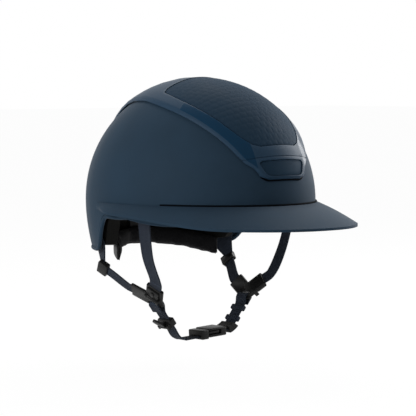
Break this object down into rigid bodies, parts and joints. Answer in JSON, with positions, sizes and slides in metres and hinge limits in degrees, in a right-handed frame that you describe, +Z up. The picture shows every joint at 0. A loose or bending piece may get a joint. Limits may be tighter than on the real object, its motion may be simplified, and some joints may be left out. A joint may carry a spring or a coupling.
{
  "type": "riding helmet",
  "caption": "Domed riding helmet with a wide peak, a raised crown band and insert, foam liner, comfort pads, nape cradle and a webbing chin harness with buckle.",
  "frame": {"origin": "centre of the head opening, at the level where the dome is widest", "axes": "+Z up, -Y the way the wearer looks, +X the wearer's left"},
  "size_m": [0.244, 0.328, 0.2754],
  "materials": {
    "shell_navy": "soft-touch matt navy",
    "band_gloss": "semi-gloss navy",
    "insert_navy": "embossed satin navy",
    "black_plastic": "moulded, satin",
    "liner_foam": "moulded bead foam",
    "pad_fabric": "black knit over foam",
    "webbing": "woven navy webbing",
    "sleeve_rubber": "matt",
    "steel": "plain"
  },
  "bodies": {
    "helmet": {"outer_shell": "shell_navy", "peak": "shell_navy", "rim_trim": "shell_navy", "crown_band": "band_gloss", "top_insert": "insert_navy", "front_plate": "insert_navy", "rear_vent": "black_plastic", "impact_liner": "liner_foam", "brow_pad": "pad_fabric", "crown_pad": "pad_fabric", "side_pad_left": "pad_fabric", "side_pad_right": "pad_fabric", "cradle_track": "black_plastic", "strap_anchor_front_left": "steel", "strap_anchor_front_right": "steel", "strap_anchor_rear_left": "steel", "strap_anchor_rear_right": "steel", "front_strap_left": "webbing", "front_strap_right": "webbing", "nape_gusset_left": "webbing", "nape_gusset_right": "webbing", "nape_guide_left": "black_plastic", "nape_guide_right": "black_plastic", "rear_strap_left": "webbing", "rear_strap_right": "webbing", "divider_left": "black_plastic", "divider_right": "black_plastic", "divider_pin_left": "steel", "divider_pin_right": "steel", "chin_strap_right": "webbing", "chin_strap_left": "webbing", "strap_sleeve": "sleeve_rubber", "buckle_socket": "black_plastic"},
    "nape_cradle": {"cradle_band": "black_plastic", "nape_pad": "pad_fabric"},
    "flap_left": {"divider_flap_left": "black_plastic"},
    "flap_right": {"divider_flap_right": "black_plastic"},
    "slider": {"chin_slider": "black_plastic", "chin_slider_pin": "steel"},
    "slider_lever": {"chin_slider_lever": "black_plastic"},
    "keeper_upper": {"strap_keeper_upper": "webbing"},
    "keeper_lower": {"strap_keeper_lower": "webbing"},
    "plug": {"buckle_plug": "black_plastic"},
    "prong_front": {"buckle_prong_front": "black_plastic"},
    "prong_rear": {"buckle_prong_rear": "black_plastic"}
  },
  "joints": [
    {"name": "cradle_height", "type": "slide", "parent": "helmet", "child": "nape_cradle", "axis": [0, 0, 1], "range_m": [-0.008, 0.008]},
    {"name": "flap_left_open", "type": "hinge", "parent": "helmet", "child": "flap_left", "pos_m": [0.07208, -0.00841, -0.09999], "axis": [0.3819, 0.7716, 0.5087], "range_deg": [0, 80]},
    {"name": "flap_right_open", "type": "hinge", "parent": "helmet", "child": "flap_right", "pos_m": [-0.07208, -0.00841, -0.09999], "axis": [0.3819, -0.7716, -0.5087], "range_deg": [0, 80]},
    {"name": "slider_travel", "type": "slide", "parent": "helmet", "child": "slider", "axis": [0.6004, 0, -0.7997], "range_m": [-0.008, 0.002]},
    {"name": "slider_lever_lift", "type": "hinge", "parent": "slider", "child": "slider_lever", "pos_m": [-0.05022, -0.003, -0.13117], "axis": [0, -1, 0], "range_deg": [-18, 50]},
    {"name": "keeper_upper_slide", "type": "slide", "parent": "helmet", "child": "keeper_upper", "axis": [-0.6004, 0, -0.7997], "range_m": [-0.001, 0.002]},
    {"name": "keeper_lower_slide", "type": "slide", "parent": "helmet", "child": "keeper_lower", "axis": [-0.6004, 0, -0.7997], "range_m": [-0.002, 0.002]},
    {"name": "buckle_release", "type": "slide", "parent": "helmet", "child": "plug", "axis": [-0.9986, 0, -0.0523], "range_m": [0, 0.015]},
    {"name": "prong_front_squeeze", "type": "hinge", "parent": "plug", "child": "prong_front", "pos_m": [0.00196, -0.0115, -0.14065], "axis": [-0.0523, 0, 0.9986], "range_deg": [0, 7], "stiffness_Nm_per_rad": 0.1},
    {"name": "prong_rear_squeeze", "type": "hinge", "parent": "plug", "child": "prong_rear", "pos_m": [0.00196, 0.0055, -0.14065], "axis": [0.0523, 0, -0.9986], "range_deg": [0, 7]}
  ],
  "couplings": [
    {"joint": "prong_rear_squeeze", "follows": "prong_front_squeeze", "ratio": 1}
  ]
}
